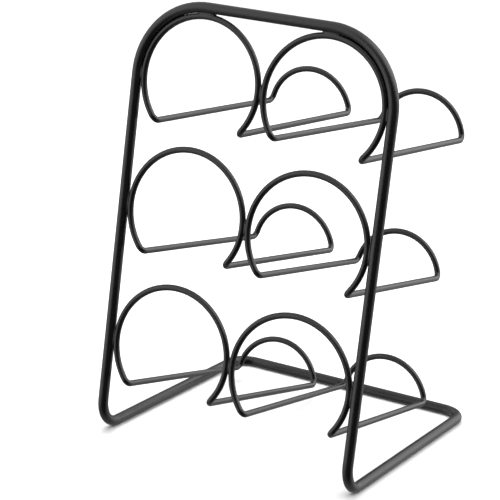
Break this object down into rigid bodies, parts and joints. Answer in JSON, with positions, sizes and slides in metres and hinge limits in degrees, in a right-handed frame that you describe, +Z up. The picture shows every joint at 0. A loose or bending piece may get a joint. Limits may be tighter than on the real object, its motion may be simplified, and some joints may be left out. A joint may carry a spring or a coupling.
{
  "type": "wine rack",
  "caption": "Free-standing wire wine rack: a leaning bent-rod arch with floor runners carries rows of open ring-and-rail cradles, each holding a bottle on its side.",
  "frame": {"origin": "on the floor, midway between the runners and midway between the front feet and the crossbar", "axes": "+X to the right seen from the front, +Y to the rear, +Z up"},
  "size_m": [0.2218, 0.2218, 0.3413],
  "materials": {
    "black_powder_coat": "satin black powder coat with a fine orange peel"
  },
  "bodies": {
    "root": {"frame_rod": "black_powder_coat", "cradle_bottom_left": "black_powder_coat", "cradle_bottom_right": "black_powder_coat", "cradle_middle_left": "black_powder_coat", "cradle_middle_right": "black_powder_coat", "cradle_top_left": "black_powder_coat", "cradle_top_right": "black_powder_coat", "frame_butt_weld": "black_powder_coat", "cradle_butt_weld_bottom_left": "black_powder_coat", "cradle_butt_weld_bottom_right": "black_powder_coat", "cradle_butt_weld_middle_left": "black_powder_coat", "cradle_butt_weld_middle_right": "black_powder_coat", "cradle_butt_weld_top_left": "black_powder_coat", "cradle_butt_weld_top_right": "black_powder_coat", "weld_leg_bottom_left": "black_powder_coat", "weld_leg_bottom_right": "black_powder_coat", "weld_leg_middle_left": "black_powder_coat", "weld_leg_middle_right": "black_powder_coat", "weld_leg_top_left": "black_powder_coat", "weld_leg_top_right": "black_powder_coat", "weld_centre_bottom": "black_powder_coat", "weld_centre_middle": "black_powder_coat", "weld_centre_top": "black_powder_coat", "weld_top_bar_left": "black_powder_coat", "weld_top_bar_right": "black_powder_coat"}
  },
  "joints": []
}
